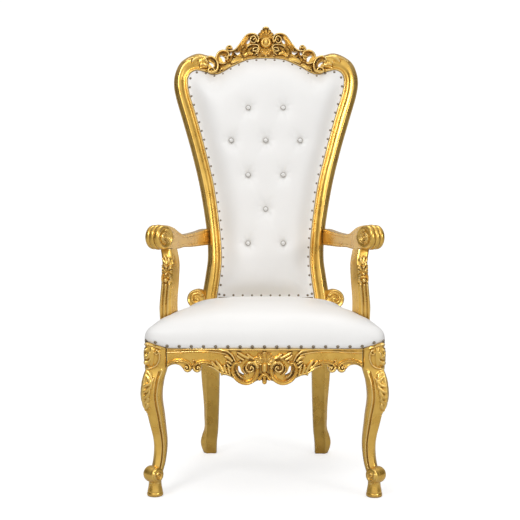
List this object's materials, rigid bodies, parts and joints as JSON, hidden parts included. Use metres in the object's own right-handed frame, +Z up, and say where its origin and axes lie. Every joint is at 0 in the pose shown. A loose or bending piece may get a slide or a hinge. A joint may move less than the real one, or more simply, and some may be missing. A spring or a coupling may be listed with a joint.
{
  "type": "throne chair",
  "caption": "High-backed throne armchair with a carved gilded frame, scrolled arms, cabriole front legs, raked back legs and white buttoned upholstery.",
  "frame": {"origin": "on the floor, under the middle of the chair's overall width and depth", "axes": "+Z up, -Y towards where the sitter faces, +X towards the sitter's left"},
  "size_m": [0.7266, 0.6812, 1.492],
  "materials": {
    "gilded_wood": "carved and gilded, satin, darker in the hollows",
    "white_leather": "smooth white leather, semi-matt",
    "button": "pale polished button",
    "underside": "black dust cloth under the seat"
  },
  "bodies": {
    "root": {"leg_front_left": "gilded_wood", "leg_front_right": "gilded_wood", "leg_back_left": "gilded_wood", "leg_back_right": "gilded_wood", "apron_front": "gilded_wood", "rail_left": "gilded_wood", "rail_right": "gilded_wood", "rail_back": "gilded_wood", "stile_left": "gilded_wood", "stile_right": "gilded_wood", "crest_rail": "gilded_wood", "back_bottom_rail": "gilded_wood", "arm_left": "gilded_wood", "arm_right": "gilded_wood", "arm_post_left": "gilded_wood", "arm_post_right": "gilded_wood", "seat_cushion": "white_leather", "back_cushion": "white_leather", "back_panel": "white_leather", "seat_board": "underside", "button_1": "button", "button_2": "button", "button_3": "button", "button_4": "button", "button_5": "button", "button_6": "button", "button_7": "button", "button_8": "button", "button_9": "button", "button_10": "button"}
  },
  "joints": []
}
